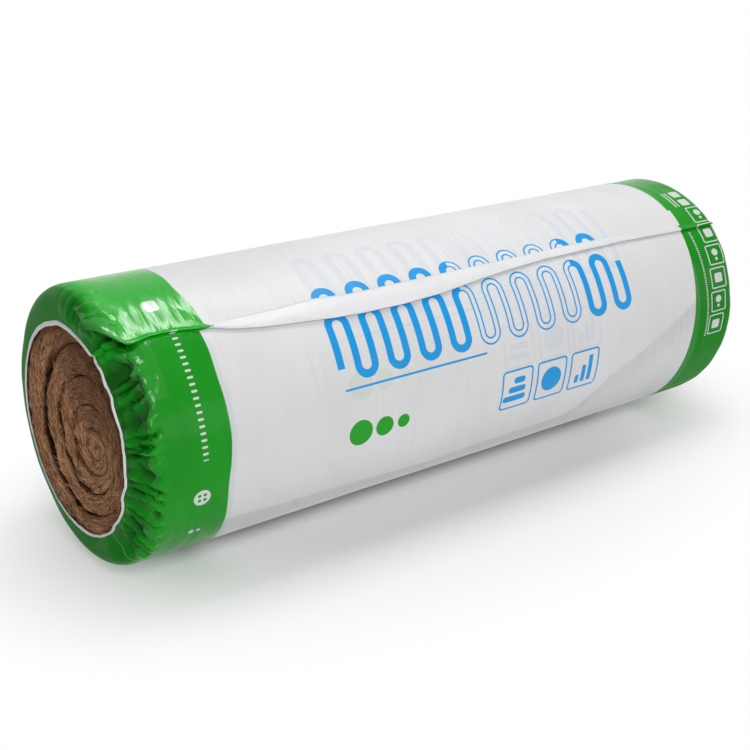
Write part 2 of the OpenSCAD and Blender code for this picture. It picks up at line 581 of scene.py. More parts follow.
class ROLL_OT_film_tail(bpy.types.Operator):
    """Makes the loose end of the film, folded back along the upper front of the roll"""

    bl_idname = "roll.film_tail"
    bl_label = "Film tail"

    def execute(self, context):
        film, colours = context.scene.film_sizes, context.scene.roll_colours
        rows = TAIL_UNDER + TAIL_FOLD + TAIL_OVER

        def run_at(column):
            return TAIL_FIRST + (TAIL_LAST - TAIL_FIRST) * column / TAIL_COLUMNS

        def place(column, row):
            run = run_at(column)
            angle, lift = tail_section(run, row)
            wave = 0.0006 * rough(run * 20, row * 0.2, 4.0) + 0.0003 * rough(run * 55, row * 0.3, 8.0)
            return film_point(film, run, angle, lift + wave * smooth(TAIL_UNDER * 0.4, TAIL_UNDER, row), 0.0)

        def flat_place(column, row):
            run = run_at(column)
            slip = TAIL_SLIP * smooth(-0.49, -0.45, run) * (1 - smooth(0.2, 0.35, run))
            slip *= smooth(TAIL_UNDER - 3, TAIL_UNDER - 1, row)
            return run - slip, tail_section(run, row)[0] * ROLL_RADIUS

        def paint(column, row):
            run = run_at(column)
            inside = row >= TAIL_UNDER + TAIL_FOLD // 2
            if inside and TAIL_BARE[0] < run < TAIL_BARE[1]:
                return BARE
            return shine_at(film, max(run, -0.57), radians(60))

        bm = sheet_grid(TAIL_COLUMNS, rows, place, flat_place, paint)
        materials = printed_films(colours, film) + [bare_film(colours)]
        piece = finish_piece(bm, "film_tail_sheet", materials)
        wall = piece.modifiers.new("wall", "SOLIDIFY")
        wall.thickness = TAIL_WALL
        wall.offset = 0
        return {"FINISHED"}


# Wool

MAT_MARGIN = 0.006
MAT_FIRST_TURN, MAT_LAST_TURN = -0.9, 5.0
MAT_ROWS = 14

# The innermost turn as a share of the mat's thickness, its growth with each turn, and the slack outside
HEART_SHARE, TURN_GROWTH, OUTER_SLACK = 0.62, 0.076, 0.010
WOBBLE = 0.0035

# Lumps on the ends of the mat: how often they come, their seed and their height
WOOL_LUMPS = ((38, 7.0, 0.0032), (120, 3.0, 0.0018))
TURN_LUMP = 0.0022

# How far the mat drops at its edges and in its slits, bulges and sinks below the collar, and at which radii
EDGE_DROP, SLIT_DROP, BULGE, BULGE_ANGLE, BULGE_REACH = 0.013, 0.020, 0.008, 50, (0.04, 0.14)
RIM_SINK, FRONT_SINK_REACH, BACK_SINK_REACH = 0.050, (0.148, 0.170), (0.166, 0.188)
COLLAR_GAP, COLLAR_GAP_REACH = 0.0035, (0.150, 0.155)

# Loose fibres: how many turns they cover, their points, and how many stand up and how far
FIBRE_TURNS = 4.1
FIBRE_POINTS = 6
FIBRE_SEED = 11
STRAY_RISE, STRAY_SHARE = 0.005, 0.05
FIBRE_SLANT, FIBRE_BOW, FIBRE_STAND, FIBRE_THICK = 0.32, 0.14, (-0.0002, 0.0012), (0.6, 1.5)
FIBRE_TONES = (0, 0, 1, 1, 2)
LEAST_RADIUS = 0.02


def mat_radius(wool, turns):
    """Distance from the heart after a number of turns; the outer turns are thicker than the inner ones."""
    return wool.turn * turns * (HEART_SHARE + TURN_GROWTH * turns) + OUTER_SLACK * smooth(4.3, 5.0, turns)


def spiral_point(wool, turns, share):
    """Place across the roll of a point of the mat, after some turns from the heart and across the mat."""
    radius = mat_radius(wool, turns + share)
    outer = ROLL_RADIUS - MAT_MARGIN
    angle = tau * turns
    wobble = rough_round(angle, 1.3, turns * 0.8)
    radius += WOBBLE * wobble * smooth(0.3, 1.5, turns) * (1 - smooth(4.4, 5.2, turns))
    radius = min(max(radius, 0.0), outer)
    pull = 1 - radius / outer
    return (radius * cos(angle) + wool.heart_shift[1] * pull,
            radius * sin(angle) + wool.heart_shift[2] * pull)


def wool_face(film, side, reach, angle):
    """Place along X of the wool's end, which follows the tilt of the film's collar."""
    share = min(reach / (ROLL_RADIUS - film.collar), 1.0)
    mean = 0.5 * (end_tilt(film, side, 0.0) + end_tilt(film, side, pi))
    tilt = mean + (end_tilt(film, side, angle) - mean) * share
    return side * (HALF_LENGTH - film.hem_rise) + tilt


def looseness(turns):
    """How far the mat stands off the turn around it: most at the back, least at the top and the front."""
    at = 360 * ((turns + 0.5) % 1.0) - 180
    return 0.14 + 0.86 * smooth(-105, -55, at) * (1 - smooth(28, 62, at))


def wool_end(film, wool, side, turns, share, rise=0.0):
    """A point on the end of the mat, some way above its surface."""
    y, z = spiral_point(wool, turns, 0.015 + 0.97 * share)
    reach, angle = hypot(y, z), atan2(z, -y)
    edge, front = abs(2 * share - 1), at_front(-60, 70, angle)
    loose = looseness(turns) * (0.55 + 0.70 * smooth(-0.4, 0.3, rough(turns * 7.0, side * 3.0, 1.0)))
    depth = loose * (EDGE_DROP * (1 - (1 - edge ** 2.4) ** 0.6) + SLIT_DROP * smooth(0.92, 1.0, edge))
    lump = sum(height * rough(y * often, z * often, side * seed) for often, seed, height in WOOL_LUMPS)
    lump += TURN_LUMP * rough(turns * 1.7, side * 5.0, 2.0)
    lump += BULGE * smooth(*BULGE_REACH, reach) * (0.55 + cos(angle - radians(BULGE_ANGLE)))
    sunk = front * smooth(*FRONT_SINK_REACH, reach) + (1 - front) * smooth(*BACK_SINK_REACH, reach)
    below = depth + RIM_SINK * sunk + lump - rise
    if reach > COLLAR_GAP_REACH[0]:
        below = max(below, COLLAR_GAP * smooth(*COLLAR_GAP_REACH, reach))
    return Vector((wool_face(film, side, reach, angle) - side * below, y, AXIS_HEIGHT + z))


class ROLL_OT_wool_mat(bpy.types.Operator):
    """Makes the wound mat, whose turns show on both ends of the roll"""

    bl_idname = "roll.wool_mat"
    bl_label = "Wool mat"

    def execute(self, context):
        wool, film = context.scene.wool_sizes, context.scene.film_sizes
        columns = round((MAT_LAST_TURN - MAT_FIRST_TURN) * wool.per_turn)
        across = [(1 - cos(pi * row / MAT_ROWS)) / 2 for row in range(MAT_ROWS + 1)]
        section = [(share, -1) for share in across] + [(share, 1) for share in reversed(across)]

        def turns_at(column):
            return MAT_FIRST_TURN + (MAT_LAST_TURN - MAT_FIRST_TURN) * column / columns

        def place(column, row):
            share, side = section[row % len(section)]
            return wool_end(film, wool, side, turns_at(column), share)

        def flat_place(column, row):
            share, side = section[row % len(section)]
            return pi * wool.turn * (turns_at(column) + 1) ** 2 + 5 * side, share

        bm = sheet_grid(columns, len(section), place, flat_place)
        bmesh.ops.holes_fill(bm, edges=[edge for edge in bm.edges if edge.is_boundary], sides=0)
        piece = finish_piece(bm, "wool_mat", [wool_fibre(context.scene.roll_colours)])
        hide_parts("wool_roll")
        return {"FINISHED"}


class ROLL_OT_wool_fibres(bpy.types.Operator):
    """Makes the loose fibres on the ends of the wound mat"""

    bl_idname = "roll.wool_fibres"
    bl_label = "Wool fibres"

    def execute(self, context):
        wool, film = context.scene.wool_sizes, context.scene.film_sizes
        tones = wool_strands(context.scene.roll_colours)
        for side, name in ((-1, "wool_fibres_left"), (1, "wool_fibres_right")):
            draw = random.Random(FIBRE_SEED + side)
            curve = bpy.data.curves.new(name, "CURVE")
            curve.dimensions = "3D"
            curve.bevel_depth = wool.fibre_width / 2
            curve.bevel_resolution = 0
            curve.use_fill_caps = True
            for tone in tones:
                curve.materials.append(tone)
            for _ in range(wool.fibres):
                self.lay_fibre(film, wool, side, draw, curve)
            holder = bpy.data.objects.new(name + "_curve", curve)
            context.scene.collection.objects.link(holder)
            seen = holder.evaluated_get(context.evaluated_depsgraph_get())
            mesh = bpy.data.meshes.new_from_object(seen)
            bpy.data.objects.remove(holder)
            bpy.data.curves.remove(curve)
            mesh.name = name
            add_piece(name, mesh)
        return {"FINISHED"}

    def lay_fibre(self, film, wool, side, draw, curve):
        """Lays one fibre at a random place of the mat's end, mostly along the turn."""
        turns = sqrt(draw.uniform(0.01, 1.0)) * FIBRE_TURNS
        margin = 0.07 + 0.15 * looseness(turns)
        share = draw.uniform(margin, 1 - margin)
        slant = draw.gauss(0, FIBRE_SLANT)
        half = wool.fibre_length * draw.uniform(0.3, 1.0) / 2
        bow = draw.gauss(0, FIBRE_BOW)
        stand = draw.uniform(*FIBRE_STAND)
        stray = STRAY_RISE if draw.random() < STRAY_SHARE else 0.0
        radius = max(mat_radius(wool, turns + share), LEAST_RADIUS)
        spline = curve.splines.new("POLY")
        spline.points.add(FIBRE_POINTS - 1)
        spline.material_index = draw.choice(FIBRE_TONES)
        thick = draw.uniform(*FIBRE_THICK)
        low, high = 0.75 * margin, 1 - 0.75 * margin
        for number, point in enumerate(spline.points):
            step = 2 * number / (FIBRE_POINTS - 1) - 1
            way = half * step
            turn_at = turns + way * cos(slant) / (tau * radius)
            over = share + (way * sin(slant) + bow * half * (1 - step * step)) / wool.turn
            rise = stand + stray * (step + 1) ** 2 / 4
            point.co = (*wool_end(film, wool, side, turn_at, min(max(over, low), high), rise), 1)
            point.radius = thick * (1.0 - 0.5 * abs(step))


# Shader values

FLOAT, VECTOR = "NodeSocketFloat", "NodeSocketVector"
PRINT_SOFT = 0.0004
BAND_SOFT = 0.0006

# Sockets of a mix node that mixes colours
MIX_FACTOR, MIX_FIRST, MIX_SECOND, MIX_RESULT = 0, 6, 7, 2


def math_method(operation):
    """A method that works on a value and on other values or numbers, by a math node."""
    return lambda self, *others: add_node(
        self.tree, "Math", dict(enumerate((self, *others))), operation=operation)


class Value:
    """A socket of a shader tree to reckon with: each operation adds its node to the tree."""

    __add__, __sub__, __mul__ = map(math_method, ("ADD", "SUBTRACT", "MULTIPLY"))
    __abs__, __lt__, __gt__ = map(math_method, ("ABSOLUTE", "LESS_THAN", "GREATER_THAN"))
    most, least, root = map(math_method, ("MAXIMUM", "MINIMUM", "SQRT"))
    wrapped, modulo = map(math_method, ("WRAP", "FLOORED_MODULO"))

    def __init__(self, tree, socket):
        self.tree = tree
        self.socket = socket

    def rise(self, low, high, bottom=0.0, top=1.0):
        """bottom below low, top above high and an even change between them."""
        inputs = {"Value": self, "From Min": low, "From Max": high, "To Min": bottom, "To Max": top}
        return add_node(self.tree, "MapRange", inputs, "Result", interpolation_type="SMOOTHSTEP")

    def between(self, low, high, soft=BAND_SOFT):
        """1 between low and high and 0 outside."""
        return self.rise(low - soft, low + soft) * self.rise(high - soft, high + soft, 1.0, 0.0)

    def inside(self):
        """1 where a distance from a printed shape's edge is negative and 0 outside."""
        return self.rise(-PRINT_SOFT, PRINT_SOFT, 1.0, 0.0)

    def vector(self, operation, other, output="Value"):
        return add_node(self.tree, "VectorMath", {0: self, 1: other}, output, operation=operation)

    def stretched(self, scale):
        """A place with each axis multiplied."""
        return self.vector("MULTIPLY", scale, "Vector")

    def noise(self, scale, detail=2.0, roughness=0.5, distortion=0.0):
        """Noise at a place, with one scale or one for each axis."""
        place, size = (self.stretched(scale), 1.0) if isinstance(scale, tuple) else (self, scale)
        inputs = {"Vector": place, "Scale": size, "Detail": detail, "Roughness": roughness,
                  "Distortion": distortion}
        return add_node(self.tree, "TexNoise", inputs, "Fac")


def feed(tree, socket, value):
    """Links an input to a value of the tree, or sets it to a plain number, vector or colour."""
    if isinstance(value, Value):
        tree.links.new(value.socket, socket)
    else:
        socket.default_value = (*value, 1.0) if socket.type == "RGBA" else value


def add_node(tree, kind, inputs, output=0, **settings):
    """Adds a node with settings and inputs to a tree and gives back one of its outputs."""
    node = tree.nodes.new("ShaderNode" + kind)
    for name, setting in settings.items():
        setattr(node, name, setting)
    for name, value in inputs.items():
        feed(tree, node.inputs[name], value)
    return Value(tree, node.outputs[output])


def mixed(mask, first, second):
    """The first colour where the mask is 0 and the second where it is 1."""
    inputs = {MIX_FACTOR: mask, MIX_FIRST: first, MIX_SECOND: second}
    return add_node(mask.tree, "Mix", inputs, MIX_RESULT, data_type="RGBA")


def painted(colour, *layers):
    """A colour under layers, each a mask and the colour that it lays on."""
    for mask, tone in layers:
        colour = mixed(mask, colour, tone)
    return colour


def toned(colour, share):
    """A plain colour made darker or lighter."""
    return tuple(min(share * c, 1.0) for c in colour)


def object_place(tree):
    return add_node(tree, "TexCoord", {}, "Object")


def sheet_place(tree):
    """The flat sheet's coordinates: as a vector, along the roll and round it."""
    sheet = add_node(tree, "UVMap", {}, "UV", uv_map="sheet")
    return (sheet, *(add_node(tree, "SeparateXYZ", {"Vector": sheet}, axis) for axis in "XY"))


def bump(height, distance):
    return add_node(height.tree, "Bump", {"Distance": distance, "Height": height}, "Normal")


def arc(angle):
    """Length round the film of an angle in degrees."""
    return radians(angle) * ROLL_RADIUS


def shader_group(name, inputs, outputs, fill):
    """The node group of a name; fill() builds it once from its inputs and gives back its outputs."""
    tree = bpy.data.node_groups.get(name)
    if tree is None:
        tree = bpy.data.node_groups.new(name, "ShaderNodeTree")
        for label in inputs:
            kind = VECTOR if label == "Sheet" else FLOAT
            tree.interface.new_socket(label, in_out="INPUT", socket_type=kind)
        for label in outputs:
            tree.interface.new_socket(label, in_out="OUTPUT", socket_type=FLOAT)
        given = tree.nodes.new("NodeGroupInput").outputs
        out = tree.nodes.new("NodeGroupOutput").inputs
        results = fill(tree, *(Value(tree, given[label]) for label in inputs))
        for label, result in zip(outputs, results):
            feed(tree, out[label], result)
    return tree


def placed(tree, group, *inputs):
    """Places a node group with its inputs in order and gives back its outputs by name."""
    node = tree.nodes.new("ShaderNodeGroup")
    node.node_tree = group
    for socket, value in zip(node.inputs, inputs):
        feed(tree, socket, value)
    return {socket.name: Value(tree, socket) for socket in node.outputs}


# Print

def draw_sign(_, run, around, centre_run, centre_around, half_width, half_height, corner, line):
    """A rectangle with round corners: its filled shape and its outline."""
    across = abs(run - centre_run) - half_width + corner
    up = abs(around - centre_around) - half_height + corner
    off_across, off_up = across.most(0.0), up.most(0.0)
    length = (off_across * off_across + off_up * off_up).root()
    distance = length + across.most(up).least(0.0) - corner
    fill = distance.inside()
    return fill, fill - (distance + line).inside()


SIGN_INPUTS = ("Run", "Around", "Centre run", "Centre around", "Half width", "Half height", "Corner", "Line")


def sign_at(run, around, place, level, half_width, half_height, corner, line=0.0):
    """A printed sign at a place along the roll and round it: filled, or an outline of a line's width."""
    group = shader_group("Round sign", SIGN_INPUTS, ("Fill", "Outline"), draw_sign)
    sign = placed(run.tree, group, run, around, place, level, half_width, half_height, corner, line)
    return sign["Outline" if line else "Fill"]


def signs_at(run, around, rows):
    """All signs of rows that say where they lie and how large they are."""
    return reduce(Value.most, [sign_at(run, around, *row) for row in rows])


def disc(place, level, radius):
    return place, level, radius, radius, radius


def sign_row(run, around, pitch, low, high, place, *sizes):
    """A row of short bars round the roll, between two places."""
    return sign_at(run, around.modulo(pitch), place, pitch / 2, *sizes) * around.between(low, high)


def draw_wave(_, run, around, centre, half_height, step, line, first, last, split, join, edge):
    """A line that swings up and down along the roll in straight strokes and half circles."""
    half, rise = step * 0.5, around - centre
    place = run - first + (rise < 0.0) * step
    swing = (place - half).wrapped(step, step * -1.0)
    top = half_height - half
    bend = (abs(rise) - top).most(0.0)
    reach = (swing * swing + bend * bend).root()
    distance = abs(reach - half) - line * 0.5
    hollow = (distance + edge).inside() * (run > split) * (run < join)
    ends = (run > first - line * 0.5) * (run < last + line * 0.5)
    first_foot = (run < first + line * 0.55) * (rise < top * -1.0)
    last_head = (run > last - line * 0.55) * (rise > top)
    return ((distance.inside() - hollow) * (ends - first_foot - last_head).most(0.0),)


WAVE_INPUTS = (
    "Run", "Around", "Centre", "Half height", "Step", "Line", "First", "Last", "Split", "Join", "Edge")

# The swinging line: its first place, its steps, and the steps between which it is drawn in outline
WAVE_FIRST, WAVE_STEP, WAVE_STEPS = -0.256, 0.0296, 20
WAVE_SPLIT, WAVE_JOIN = 8.5, 16.5
WAVE_ANGLE, WAVE_HALF_HEIGHT, WAVE_LINE, WAVE_EDGE = 31, 0.047, 0.0125, 0.0030

# The framed signs, and the discs as places along the roll and radii
FRAME_RUN, FRAME_PITCH, FRAME_ANGLE = 0.150, 0.075, -7
DISCS = ((-0.232, 0.021), (-0.189, 0.016), (-0.154, 0.011))
DISC_ANGLE = -6


def draw_print(tree, run, around):
    """The printed design of the film's middle: where its blue and its green lie."""
    first, last, split, join = (
        WAVE_FIRST + steps * WAVE_STEP for steps in (0, WAVE_STEPS, WAVE_SPLIT, WAVE_JOIN))
    group = shader_group("Swinging line", WAVE_INPUTS, ("Mask",), draw_wave)
    wave = placed(tree, group, run, around, arc(WAVE_ANGLE), WAVE_HALF_HEIGHT, WAVE_STEP, WAVE_LINE,
                  first, last, split, join, WAVE_EDGE)["Mask"]
    level = arc(FRAME_ANGLE)
    bars, columns = FRAME_RUN - FRAME_PITCH, FRAME_RUN + FRAME_PITCH
    rows = [(-0.122, arc(13.5), 0.134, 0.0017, 0.0016), disc(FRAME_RUN, level, 0.022)]
    for number in (-1, 0, 1):
        rows += [
            (FRAME_RUN + FRAME_PITCH * number, level, 0.033, 0.036, 0.008, 0.0034),
            (bars + 0.004 * number, level + 0.016 * number, 0.018 - 0.006 * number, 0.0056, 0.0054),
            (columns + 0.014 * number, level + 0.008 * (number - 1), 0.0045, 0.008 * (number + 2), 0.002)]
    discs = [disc(place, arc(DISC_ANGLE), radius) for place, radius in DISCS]
    return wave.most(signs_at(run, around, rows)), signs_at(run, around, discs)


def print_group():
    return shader_group("Film print", ("Run", "Around"), ("Blue", "Green"), draw_print)


# The row of bars and the disc with holes on the left band
BAR_PITCH, BAR_FIRST, BAR_LAST, BAR_RUN = 0.0098, 0.5, 19.5, -0.487
BUTTON_RUN, BUTTON_ANGLE, BUTTON_RADIUS, BUTTON_HOLE, HOLE_OFF = -0.4935, -14.5, 0.013, 0.0027, 0.0042

# Spots on the left band: place, angle and half width
SPOTS = ((-0.501, -33.5, 0.0038), (-0.490, -33.5, 0.0028), (-0.4965, 66.5, 0.0100))

# Frames, dashes, rules and squares on the right band
BAND_FRAMES, BAND_FRAME_FIRST, BAND_FRAME_STEP = 6, -3.2, 11.6
BAND_FRAME_RUN, BAND_FRAME_LEAN = 0.5550, 0.00035
DASH_PITCH, DASH_RUN, DASH_LOW, DASH_HIGH = 0.0040, 0.5315, -9.0, 46
RULE_RUNS, RULE_ANGLE, RULE_HALF = (0.5440, 0.5510), 67.5, 6.0
SQUARE_RUN, SQUARE_ANGLES = 0.5680, (64.0, 71.0)


def draw_band(_, run, around):
    """The white signs on the green end bands."""
    level = arc(BUTTON_ANGLE)
    button = sign_at(run, around, *disc(BUTTON_RUN, level, BUTTON_RADIUS))
    for along in (-HOLE_OFF, HOLE_OFF):
        for up in (-HOLE_OFF, HOLE_OFF):
            button -= sign_at(run, around, *disc(BUTTON_RUN + along, level + up, BUTTON_HOLE))
    bars = sign_row(run, around, BAR_PITCH, BAR_PITCH * BAR_FIRST, BAR_PITCH * BAR_LAST,
                    BAR_RUN, 0.0044, 0.0017, 0.0016)
    dashes = sign_row(run, around, DASH_PITCH, arc(DASH_LOW), arc(DASH_HIGH),
                      DASH_RUN, 0.0021, 0.0010, 0.0009)
    rows = [(place, arc(angle), half, half * 1.1, half * 0.5) for place, angle, half in SPOTS]
    rows += [(place, arc(RULE_ANGLE), 0.0013, arc(RULE_HALF), 0.0012) for place in RULE_RUNS]
    rows += [(SQUARE_RUN, arc(angle), 0.0090, 0.0090, 0.0030) for angle in SQUARE_ANGLES]
    for number in range(BAND_FRAMES):
        angle = BAND_FRAME_FIRST + BAND_FRAME_STEP * number
        place, level = BAND_FRAME_RUN + BAND_FRAME_LEAN * angle, arc(angle)
        rows.append((place, level, 0.0175, 0.0188, 0.004, 0.0022))
        if number % 2:
            rows += [disc(place, level - 0.0082, 0.0030), disc(place, level + 0.0040, 0.0066)]
        else:
            rows.append((place, level, 0.0085, 0.0085, 0.0030))
    return (button.most(bars).most(dashes).most(signs_at(run, around, rows)),)


# Materials

def new_material(name, fill):
    """The material of a name; fill() builds it once in its tree and gives back its shader's inputs."""
    material = bpy.data.materials.get(name)
    if material is None:
        material = bpy.data.materials.new(name)
        material.use_nodes = True
        tree = material.node_tree
        shader = next(node for node in tree.nodes if node.type == "BSDF_PRINCIPLED")
        for label, value in fill(tree).items():
            feed(tree, shader.inputs[label], value)
    return material


def draw_wrinkles(_, sheet):
    """Height of the fine wrinkles that run round the film, with a few slanting ones."""
    rings = sheet.noise((150, 9, 1), 3.0, 0.55, 0.4)
    slants = sheet.noise((42, 12, 1), 2.0, 0.5, 1.2)
    return (rings * 0.6 + slants * 0.9,)


def wrinkles_on(sheet):
    group = shader_group("Film wrinkles", ("Sheet",), ("Height",), draw_wrinkles)
    return placed(sheet.tree, group, sheet)["Height"]


# The low fold of the film is a line that changes its slope at these places along the roll
FOLD_SLOPE, FOLD_START = -0.075, -0.1494
FOLD_CORNERS = ((-0.076, 0.119), (0.228, 1.026), (0.294, -0.570))

# The print above the tail lies on the outer layer, and the print below shows through as a ghost
LAYER_SHIFT, GHOST_SHIFT, GHOST_RUN, GHOST_SHARE = 12.5, 20, -0.004, 0.16
GHOST_BLUE, GHOST_GREEN = (0.35, 0.52, 0.72), (0.30, 0.55, 0.36)
UNDER_EDGE, SEAM_TONE = (0.58, 0.66, 0.66), (0.42, 0.62, 0.42)


def middle_colour(colours, sheet, run, around, above, mottle):
    """The film's middle: white film, shaded and streaked below its low fold, lightened low at the front as
    painted light, with its print.
    """
    white = tuple(colours.film_white)
    fold = run * FOLD_SLOPE + FOLD_START
    for corner, slope in FOLD_CORNERS:
        fold = (run - corner).most(0.0) * slope + fold
    under = fold - around
    in_front = around > arc(-75)
    shade = under.rise(-0.001, 0.003) * under.rise(0.0, 0.07, 1.0, 0.25) * in_front
    streaks = sheet.noise((120, 6, 1), 3.0, 0.6, 0.3).rise(0.50, 0.70, 0.0, 0.6) * shade
    fibrous = sheet.noise((300, 7, 1), 3.0, 0.6, 0.5).rise(0.50, 0.78, 0.0, 0.6)
    shifted = around - above * arc(LAYER_SHIFT)
    ink = placed(run.tree, print_group(), run, shifted)
    ghost = placed(run.tree, print_group(), run + GHOST_RUN, shifted - arc(GHOST_SHIFT))
    return painted(
        white,
        (mottle.rise(0.35, 0.7), toned(white, 0.955)),
        (fibrous, toned(white, 0.86)),
        (shade * 0.8, toned(white, 0.82)),
        (streaks, toned(white, 0.70)),
        # painted light: the lowest front of the film lightened, standing in for the floor's bounce
        (around.rise(arc(-56), arc(-42), 0.7, 0.0) * in_front, toned(white, 1.18)),
        (ghost["Blue"] * GHOST_SHARE, GHOST_BLUE),
        (ghost["Green"] * GHOST_SHARE, GHOST_GREEN),
        (ink["Blue"], tuple(colours.print_blue)),
        (ink["Green"], tuple(colours.band_green)))


def band_colour(colours, run, around, above, mottle, left, right):
    """The green end bands, mottled, with their signs and seams, and with painted light and shade: lighter at
    the top of the left band, darker on the left collar and low on the right band, painted shade in the
    valleys of the folds and painted highlights on their ridges.
    """
    green = tuple(colours.band_green)
    folds = add_node(run.tree, "Attribute", {}, "Fac", attribute_name="fold")
    group = shader_group("Band signs", ("Run", "Around"), ("White",), draw_band)
    signs = placed(run.tree, group, run, around)["White"]
    top_seam = around.between(arc(93) - 0.0004, arc(93) + 0.0004, 0.0003)
    low_seam = around.between(arc(-51) - 0.0005, arc(-51) + 0.0005, 0.0003)
    return painted(
        green,
        (mottle.rise(0.3, 0.75), toned(green, 0.8)),
        # painted light: the top of the left band lightened
        (above * left * run.rise(-0.580, -0.550), toned(green, 1.28)),
        # painted shade: the left collar, which faces away from the light, darkened
        (run.rise(-0.592, -0.566, 1.0, 0.0), toned(green, 0.62)),
        # painted shade in the valleys of the folds, read from their height
        (folds.rise(0.04, -0.40, 0.0, 0.75), toned(green, 0.22)),
        # painted highlights on the ridges of the folds
        (folds.rise(0.12, 0.55, 0.0, 0.8), toned(green, 1.12)),
        # painted shade: the right band darkened low at the front
        (right * around.rise(arc(15), arc(50), 1.0, 0.0), toned(green, 0.68)),
        (signs * 0.92, tuple(colours.film_white)),
        (top_seam.most(low_seam) * run.rise(-0.556, -0.540, 0.6, 0.0), SEAM_TONE))


def film_roughness(sheet, run, around, band):
    """Roughness of the film: glossy on the bands, less so on the left collar and low on the right."""
    gloss = sheet.noise((60, 12, 1), 2.0)
    turned = run.rise(-0.565, -0.535, 0.34, 0.0) * around.rise(arc(62), arc(82))
    pleated = around.between(arc(-48), arc(58), 0.02)
    collar = run.rise(-0.600, -0.572, 0.34, 0.0) * (pleated * -0.75 + 1.0)
    lower = around.rise(arc(-10), arc(25), 0.30, 0.0) * (run > 0.0)
    shiny = gloss.rise(0.3, 0.7, 0.13, 0.24) + turned.most(collar).most(lower)
    return gloss.rise(0.3, 0.7, 0.40, 0.50) * (band * -1.0 + 1.0) + shiny * band


def printed_films(colours, film):
    """The printed film's materials: glossy white film with green end bands and a printed middle."""
    def fill(tree, shine):
        sheet, run, around = sheet_place(tree)
        mottle = sheet.noise((9, 5, 1), 3.0)
        above = around > film.tail_angle * ROLL_RADIUS
        sway = (sheet.noise((0, 7, 1), 1.0) - 0.5) * 0.022
        swayed = run + sway - above * around.rise(arc(52), arc(82), 0.011, 0.0)
        left = swayed.rise(film.left_band - BAND_SOFT, film.left_band + BAND_SOFT, 1.0, 0.0)
        under = swayed.between(film.left_band, film.left_band + 0.008, 0.002)
        under *= around.rise(arc(36), arc(50), 0.45, 0.0)
        lean = around.rise(arc(-15), arc(75), -0.011, 0.014)
        notch = around.between(arc(50.5), arc(60.5)) * 0.006
        right = (run - lean - notch).rise(film.right_band - BAND_SOFT, film.right_band + BAND_SOFT)
        band = left.most(right)
        colour = painted(
            middle_colour(colours, sheet, run, around, above, mottle), (under, UNDER_EDGE),
            (band, band_colour(colours, run, around, above, mottle, left, right)))
        return {"Base Color": colour, "Roughness": film_roughness(sheet, run, around, band),
                "Specular IOR Level": shine, "Normal": bump(wrinkles_on(sheet) * (band * 0.3 + 0.7), 0.0010)}

    return [new_material(name, lambda tree, shine=shine: fill(tree, shine)) for name, shine in FILM_SHINES]


def bare_film(colours, name="bare_film", bright=1.04):
    """The unprinted inside of the film."""
    def fill(tree):
        sheet = sheet_place(tree)[0]
        white = toned(colours.film_white, bright)
        colour = mixed(sheet.noise((14, 30, 1), 2.0).rise(0.4, 0.7), white, toned(white, 0.95))
        return {"Base Color": colour, "Roughness": 0.36, "Specular IOR Level": 0.3,
                "Normal": bump(wrinkles_on(sheet), 0.0006)}

    return new_material(name, fill)


# Directions across the roll in which the painted shade on the wool deepens, and in which its gaps open and
# their painted shade is strongest
SHADE_WAY, GAP_WAY = (0.0, -0.7, 0.75), (0.0, 0.85, -0.53)


def draw_shade_and_blotches(tree):
    """How much darker the wool is: painted shade towards the top, the front and the edge of the roll, and
    random darker blotches.
    """
    place = object_place(tree)
    patches = place.noise(30.0, 2.0)
    height = place.vector("DOT_PRODUCT", SHADE_WAY) - SHADE_WAY[2] * AXIS_HEIGHT
    reach = place.stretched((0, 1, 1)).vector("DISTANCE", (0.0, 0.0, AXIS_HEIGHT))
    edge = (patches * 0.030 + reach).rise(0.138, 0.172) * height.rise(-0.06, 0.02, 0.15, 0.65)
    blotches = place.noise(64.0, 3.0, 0.6, 0.7).rise(0.53, 0.66, 0.0, 0.60)
    return ((patches * 0.05 + height).rise(0.03, 0.12, 0.0, 0.60).most(edge).most(blotches),)


def wool_shade_and_blotches(tree):
    return placed(tree, shader_group("Wool shade", (), ("Shade",), draw_shade_and_blotches))["Shade"]


def wool_fibre(colours):
    """Brown mineral wool, streaked along the mat, with painted shade in the gaps between its turns and
    towards the top, the front and the edge.
    """
    def fill(tree):
        sheet, _, across = sheet_place(tree)
        place = object_place(tree)
        dark = tuple(colours.wool_dark)
        clumps = place.noise(75.0, 4.0, 0.68, 0.8)
        streaks = sheet.noise((34, 13, 1), 4.0, 0.62, 0.8)
        fine = place.noise(380.0, 3.0, 0.65, 1.0)
        blend = clumps * 0.30 + (streaks * 0.42 + fine * 0.28)
        ragged = abs(across * 2.0 - 1.0) + (clumps - 0.5) * 0.5
        axis = GAP_WAY[2] * AXIS_HEIGHT
        at_back = place.vector("DOT_PRODUCT", GAP_WAY).rise(axis - 0.04, axis + 0.05, 0.2, 1.0)
        colour = painted(
            dark,
            (blend.rise(0.40, 0.53), tuple(colours.wool_mid)),
            (blend.rise(0.51, 0.63), tuple(colours.wool_light)),
            # painted shade in the gaps between the turns, strongest at the back where they open
            (ragged.rise(0.46, 0.86) * at_back, toned(dark, 0.22)),
            # painted shade towards the top, the front and the edge, with random dark blotches
            (wool_shade_and_blotches(tree), dark))
        return {"Base Color": colour, "Roughness": 0.95, "Specular IOR Level": 0.05,
                "Normal": bump(fine + streaks, 0.0016)}

    return new_material("wool_fibre", fill)


